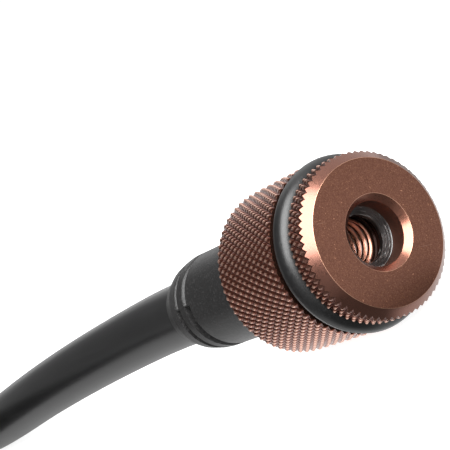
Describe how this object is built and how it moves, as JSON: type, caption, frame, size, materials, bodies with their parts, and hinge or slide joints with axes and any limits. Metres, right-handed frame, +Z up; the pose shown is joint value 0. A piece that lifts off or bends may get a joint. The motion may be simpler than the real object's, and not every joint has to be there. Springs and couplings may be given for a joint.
{
  "type": "cable shutter release",
  "caption": "Bowden cable with a knurled screw-on coupling head at one end and a spring-return thumb plunger with a lock screw at the other, cable coiled.",
  "frame": {"origin": "mouth of the camera thread, on the axis of the coupling head", "axes": "+X out of the head's mouth along its axis, +Z up from the surface that everything lies on, 6.1 mm below the origin"},
  "size_m": [0.1333, 0.0762, 0.0189],
  "materials": {
    "bronze_anodised": "satin",
    "insert_bronze": "satin",
    "black_rubber": "matt",
    "black_nylon": "satin",
    "cable_sheath": "satin",
    "strap": "matt",
    "brass": "satin",
    "white_nylon": "matt",
    "steel": "satin",
    "black_anodised": "satin"
  },
  "bodies": {
    "cable_and_grip": {"swivel_ferrule": "steel", "pin_guide": "brass", "head_boot": "black_rubber", "cable_lead": "cable_sheath", "cable_coil": "cable_sheath", "coil_tie": "strap", "cable_tail": "cable_sheath", "grip_boot": "black_rubber", "tail_ferrule": "brass", "tail_cap": "bronze_anodised", "grip_body": "black_anodised", "finger_plate": "bronze_anodised", "top_nut": "bronze_anodised", "plunger_bush": "brass", "return_spring": "steel"},
    "coupling_head": {"front_collar": "bronze_anodised", "grip_ring": "black_rubber", "rear_barrel": "bronze_anodised", "friction_ring": "black_nylon", "thread_insert": "insert_bronze", "front_washer": "brass", "rear_washer": "white_nylon"},
    "release_pin": {"release_pin": "steel", "core_wire_head": "steel"},
    "plunger": {"plunger_rod": "steel", "thumb_button": "black_anodised", "core_wire_grip": "steel", "wire_screw": "steel"},
    "lock_screw": {"lock_screw": "bronze_anodised"},
    "lock_pad": {"lock_pad": "brass"}
  },
  "joints": [
    {"name": "head_spin", "type": "hinge", "parent": "cable_and_grip", "child": "coupling_head", "pos_m": [0, 0, 0], "axis": [1, 0, 0], "continuous": true},
    {"name": "plunger_slide", "type": "slide", "parent": "cable_and_grip", "child": "plunger", "axis": [-1, 0, 0], "range_m": [0, 0.0065], "stiffness_N_per_m": 300, "springref_m": -0.006, "deforming": ["return_spring"]},
    {"name": "pin_slide", "type": "slide", "parent": "cable_and_grip", "child": "release_pin", "axis": [1, 0, 0], "range_m": [0, 0.0065]},
    {"name": "lock_advance", "type": "slide", "parent": "cable_and_grip", "child": "lock_pad", "axis": [0, 0, -1], "range_m": [0, 0.00025]},
    {"name": "lock_turn", "type": "hinge", "parent": "lock_pad", "child": "lock_screw", "pos_m": [-0.0178, -0.0556, 0.0015], "axis": [0, 0, 1], "range_deg": [-180, 0]}
  ],
  "couplings": [
    {"joint": "pin_slide", "follows": "plunger_slide", "ratio": 1},
    {"joint": "lock_turn", "follows": "lock_advance", "rad_per_m": -12566}
  ]
}
